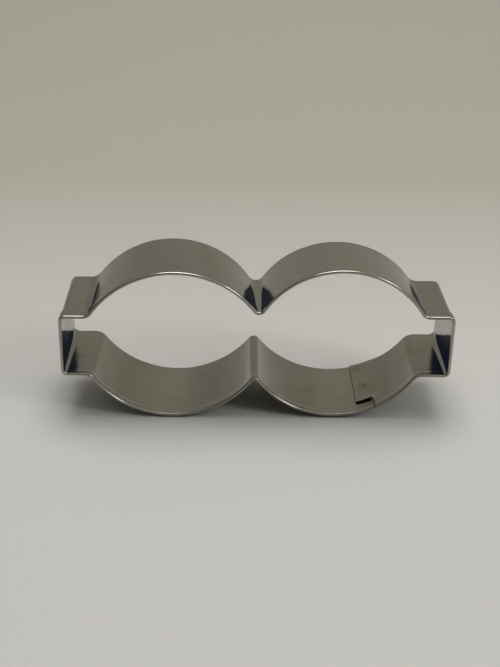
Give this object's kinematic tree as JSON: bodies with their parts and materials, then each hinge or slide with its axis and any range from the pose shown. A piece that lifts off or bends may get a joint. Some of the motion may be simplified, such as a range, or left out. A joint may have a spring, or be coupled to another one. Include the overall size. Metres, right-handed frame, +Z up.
{
  "type": "cookie cutter",
  "caption": "Open cookie cutter bent from one stainless strip in the outline of round goggles, with a hemmed rim, a plain cutting edge and a spot-welded lap joint.",
  "frame": {"origin": "under the middle of the cutter, on the surface that its two lower lobes stand on", "axes": "+X along the cutter from tab to tab, +Y from the hemmed rim to the cutting edge, +Z up"},
  "size_m": [0.1, 0.025, 0.0407],
  "materials": {
    "stainless_strip": "bright cold-rolled stainless, semi-gloss",
    "spot_weld": "pressed and lightly tinted"
  },
  "bodies": {
    "root": {"cutter_strip": "stainless_strip", "rear_spot_weld": "spot_weld", "middle_spot_weld": "spot_weld"}
  },
  "joints": []
}
